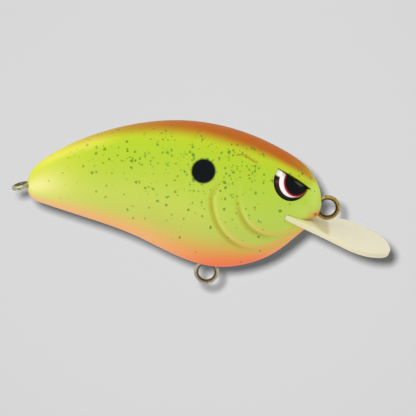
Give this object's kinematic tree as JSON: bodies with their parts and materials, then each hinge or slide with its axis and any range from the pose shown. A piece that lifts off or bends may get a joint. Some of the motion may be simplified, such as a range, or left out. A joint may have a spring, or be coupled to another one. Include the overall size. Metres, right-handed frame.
{
  "type": "crankbait fishing lure",
  "caption": "Hollow plastic crankbait lure with a sloping diving lip, wire eyes at nose, belly and tail, set-in eyes, and steel balls that shift and rattle inside.",
  "frame": {"origin": "centre of the line tie's eye at the nose", "axes": "+X out of the nose, +Y to the lure's left, +Z to its back"},
  "size_m": [0.0703, 0.0196, 0.0312],
  "materials": {
    "body_paint": "clear-coated airbrushed paint",
    "lip_plastic": "milky translucent plastic",
    "wire": "bronze-toned bent wire",
    "eye_print": "printed disc",
    "eye_resin": "clear domed resin",
    "steel_ball": "bare steel ball"
  },
  "bodies": {
    "lure_body": {"right_body_shell": "body_paint", "left_body_shell": "body_paint", "diving_lip": "lip_plastic", "line_tie": "wire", "belly_hanger": "wire", "tail_hanger": "wire", "right_eye_disc": "eye_print", "left_eye_disc": "eye_print", "right_eye_dome": "eye_resin", "left_eye_dome": "eye_resin", "ballast_ball_front": "steel_ball", "ballast_ball_rear": "steel_ball"},
    "casting_weight": {"casting_weight_ball": "steel_ball"},
    "rattle_front": {"rattle_ball_front": "steel_ball"},
    "rattle_middle": {"rattle_ball_middle": "steel_ball"},
    "rattle_rear": {"rattle_ball_rear": "steel_ball"}
  },
  "joints": [
    {"name": "casting_weight_slide", "type": "slide", "parent": "lure_body", "child": "casting_weight", "axis": [-0.9194, 0, 0.3933], "range_m": [0, 0.01953]},
    {"name": "rattle_front_slide", "type": "slide", "parent": "lure_body", "child": "rattle_front", "axis": [0, 0, 1], "range_m": [0, 0.003]},
    {"name": "rattle_middle_slide", "type": "slide", "parent": "lure_body", "child": "rattle_middle", "axis": [0, 0, 1], "range_m": [0, 0.003]},
    {"name": "rattle_rear_slide", "type": "slide", "parent": "lure_body", "child": "rattle_rear", "axis": [0, 0, 1], "range_m": [0, 0.003]}
  ]
}
